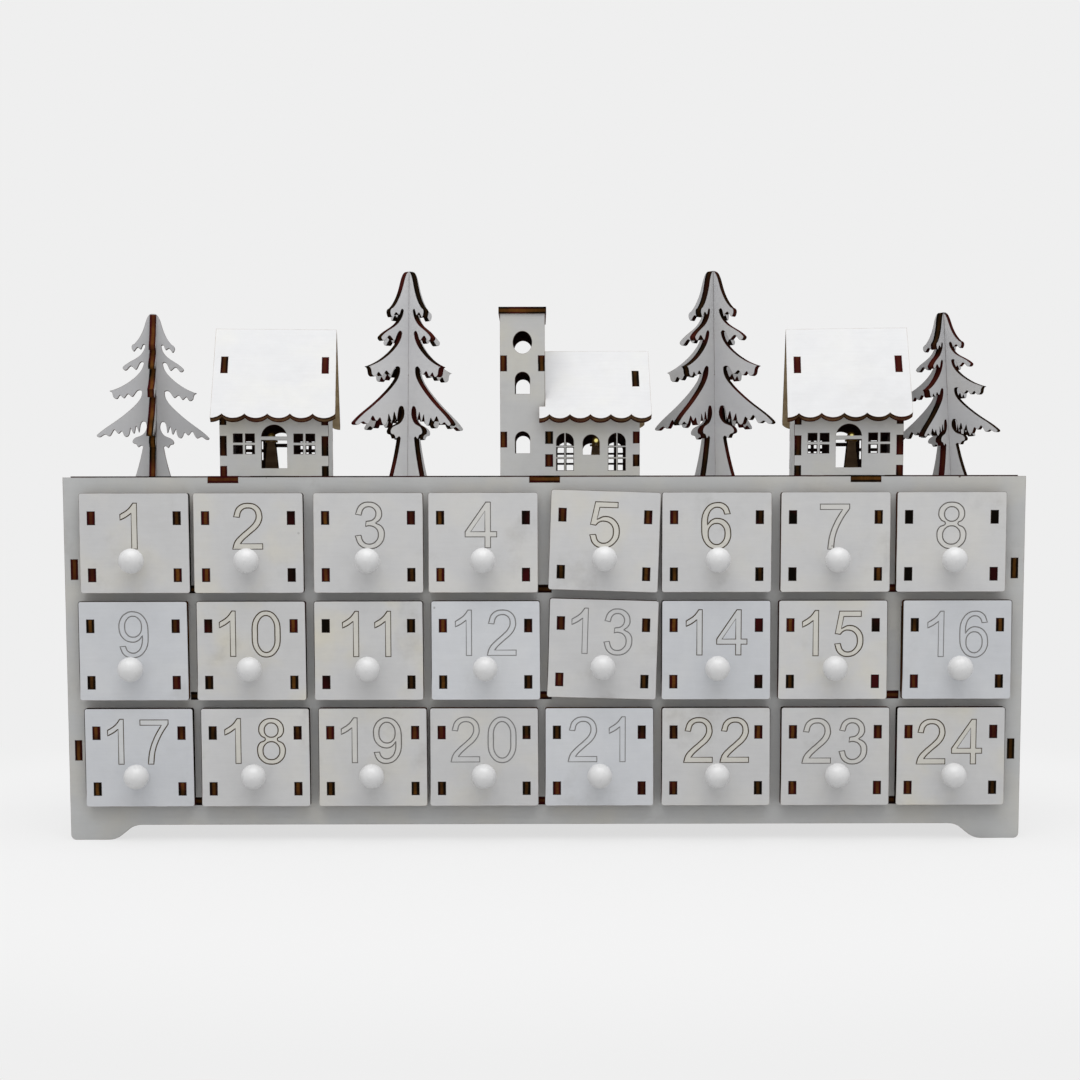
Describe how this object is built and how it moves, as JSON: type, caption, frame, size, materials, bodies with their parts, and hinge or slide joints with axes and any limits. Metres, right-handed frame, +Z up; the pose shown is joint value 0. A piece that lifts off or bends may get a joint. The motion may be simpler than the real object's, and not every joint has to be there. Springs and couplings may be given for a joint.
{
  "type": "wooden advent calendar",
  "caption": "Footed box of numbered pull-out drawers cut from thin painted board, with cottages, a church and firs on its lid and small lamps inside the buildings.",
  "frame": {"origin": "middle of the footprint on the surface that the box stands on", "axes": "+X along the box to the viewer's right, +Y from the drawer fronts to the back, +Z up"},
  "size_m": [0.385, 0.1058, 0.2336],
  "materials": {
    "painted_board": "matte white paint",
    "drawer_board": "matte white paint",
    "raw_board": "raw",
    "lamp_resin": "clear",
    "lead_insulation": "matte",
    "black_plastic": "matte",
    "cell_jacket": "satin",
    "contact_steel": "plated",
    "slider_plastic": "matte"
  },
  "bodies": {
    "calendar_box": {"front_frame": "painted_board", "back_panel": "painted_board", "lid_board": "painted_board", "left_side_panel": "painted_board", "right_side_panel": "painted_board", "bottom_board": "raw_board", "shelves": "raw_board", "column_dividers": "raw_board", "lamp_posts": "raw_board", "left_cottage_walls": "painted_board", "left_cottage_gables": "painted_board", "left_cottage_front_roof": "painted_board", "left_cottage_rear_roof": "painted_board", "right_cottage_walls": "painted_board", "right_cottage_gables": "painted_board", "right_cottage_front_roof": "painted_board", "right_cottage_rear_roof": "painted_board", "church_front_wall": "painted_board", "church_rear_wall": "painted_board", "tower_side_walls": "painted_board", "nave_gables": "painted_board", "tower_cap": "painted_board", "nave_front_roof": "painted_board", "nave_rear_roof": "painted_board", "left_small_fir": "painted_board", "left_big_fir": "painted_board", "right_big_fir": "painted_board", "right_small_fir": "painted_board", "lamps": "lamp_resin", "lamp_leads": "lead_insulation", "battery_box": "black_plastic", "battery_cells": "cell_jacket", "battery_contacts": "contact_steel", "switch_body": "black_plastic"},
    "drawer_01": {"drawer_01": "drawer_board"},
    "drawer_02": {"drawer_02": "drawer_board"},
    "drawer_03": {"drawer_03": "drawer_board"},
    "drawer_04": {"drawer_04": "drawer_board"},
    "drawer_05": {"drawer_05": "drawer_board"},
    "drawer_06": {"drawer_06": "drawer_board"},
    "drawer_07": {"drawer_07": "drawer_board"},
    "drawer_08": {"drawer_08": "drawer_board"},
    "drawer_09": {"drawer_09": "drawer_board"},
    "drawer_10": {"drawer_10": "drawer_board"},
    "drawer_11": {"drawer_11": "drawer_board"},
    "drawer_12": {"drawer_12": "drawer_board"},
    "drawer_13": {"drawer_13": "drawer_board"},
    "drawer_14": {"drawer_14": "drawer_board"},
    "drawer_15": {"drawer_15": "drawer_board"},
    "drawer_16": {"drawer_16": "drawer_board"},
    "drawer_17": {"drawer_17": "drawer_board"},
    "drawer_18": {"drawer_18": "drawer_board"},
    "drawer_19": {"drawer_19": "drawer_board"},
    "drawer_20": {"drawer_20": "drawer_board"},
    "drawer_21": {"drawer_21": "drawer_board"},
    "drawer_22": {"drawer_22": "drawer_board"},
    "drawer_23": {"drawer_23": "drawer_board"},
    "drawer_24": {"drawer_24": "drawer_board"},
    "battery_cover": {"battery_cover": "painted_board"},
    "switch_slider": {"switch_slider": "slider_plastic"}
  },
  "joints": [
    {"name": "drawer_01_slide", "type": "slide", "parent": "calendar_box", "child": "drawer_01", "axis": [0, -1, 0], "range_m": [-0.002, 0.053]},
    {"name": "drawer_02_slide", "type": "slide", "parent": "calendar_box", "child": "drawer_02", "axis": [0, -1, 0], "range_m": [-0.002, 0.053]},
    {"name": "drawer_03_slide", "type": "slide", "parent": "calendar_box", "child": "drawer_03", "axis": [0, -1, 0], "range_m": [-0.002, 0.053]},
    {"name": "drawer_04_slide", "type": "slide", "parent": "calendar_box", "child": "drawer_04", "axis": [0, -1, 0], "range_m": [-0.002, 0.053]},
    {"name": "drawer_05_slide", "type": "slide", "parent": "calendar_box", "child": "drawer_05", "axis": [0, -1, 0], "range_m": [-0.002, 0.053]},
    {"name": "drawer_06_slide", "type": "slide", "parent": "calendar_box", "child": "drawer_06", "axis": [0, -1, 0], "range_m": [-0.002, 0.053]},
    {"name": "drawer_07_slide", "type": "slide", "parent": "calendar_box", "child": "drawer_07", "axis": [0, -1, 0], "range_m": [-0.002, 0.053]},
    {"name": "drawer_08_slide", "type": "slide", "parent": "calendar_box", "child": "drawer_08", "axis": [0, -1, 0], "range_m": [-0.002, 0.053]},
    {"name": "drawer_09_slide", "type": "slide", "parent": "calendar_box", "child": "drawer_09", "axis": [0, -1, 0], "range_m": [-0.002, 0.053]},
    {"name": "drawer_10_slide", "type": "slide", "parent": "calendar_box", "child": "drawer_10", "axis": [0, -1, 0], "range_m": [-0.002, 0.053]},
    {"name": "drawer_11_slide", "type": "slide", "parent": "calendar_box", "child": "drawer_11", "axis": [0, -1, 0], "range_m": [-0.002, 0.053]},
    {"name": "drawer_12_slide", "type": "slide", "parent": "calendar_box", "child": "drawer_12", "axis": [0, -1, 0], "range_m": [-0.002, 0.053]},
    {"name": "drawer_13_slide", "type": "slide", "parent": "calendar_box", "child": "drawer_13", "axis": [0, -1, 0], "range_m": [-0.002, 0.053]},
    {"name": "drawer_14_slide", "type": "slide", "parent": "calendar_box", "child": "drawer_14", "axis": [0, -1, 0], "range_m": [-0.002, 0.053]},
    {"name": "drawer_15_slide", "type": "slide", "parent": "calendar_box", "child": "drawer_15", "axis": [0, -1, 0], "range_m": [-0.002, 0.053]},
    {"name": "drawer_16_slide", "type": "slide", "parent": "calendar_box", "child": "drawer_16", "axis": [0, -1, 0], "range_m": [-0.002, 0.053]},
    {"name": "drawer_17_slide", "type": "slide", "parent": "calendar_box", "child": "drawer_17", "axis": [0, -1, 0], "range_m": [-0.002, 0.053]},
    {"name": "drawer_18_slide", "type": "slide", "parent": "calendar_box", "child": "drawer_18", "axis": [0, -1, 0], "range_m": [-0.002, 0.053]},
    {"name": "drawer_19_slide", "type": "slide", "parent": "calendar_box", "child": "drawer_19", "axis": [0, -1, 0], "range_m": [-0.002, 0.053]},
    {"name": "drawer_20_slide", "type": "slide", "parent": "calendar_box", "child": "drawer_20", "axis": [0, -1, 0], "range_m": [-0.002, 0.053]},
    {"name": "drawer_21_slide", "type": "slide", "parent": "calendar_box", "child": "drawer_21", "axis": [0, -1, 0], "range_m": [-0.002, 0.053]},
    {"name": "drawer_22_slide", "type": "slide", "parent": "calendar_box", "child": "drawer_22", "axis": [0, -1, 0], "range_m": [-0.002, 0.053]},
    {"name": "drawer_23_slide", "type": "slide", "parent": "calendar_box", "child": "drawer_23", "axis": [0, -1, 0], "range_m": [-0.002, 0.053]},
    {"name": "drawer_24_slide", "type": "slide", "parent": "calendar_box", "child": "drawer_24", "axis": [0, -1, 0], "range_m": [-0.002, 0.053]},
    {"name": "battery_cover_lift", "type": "slide", "parent": "calendar_box", "child": "battery_cover", "axis": [0, 1, 0], "range_m": [0, 0.04]},
    {"name": "switch_slide", "type": "slide", "parent": "calendar_box", "child": "switch_slider", "axis": [1, 0, 0], "range_m": [0, 0.004]}
  ]
}
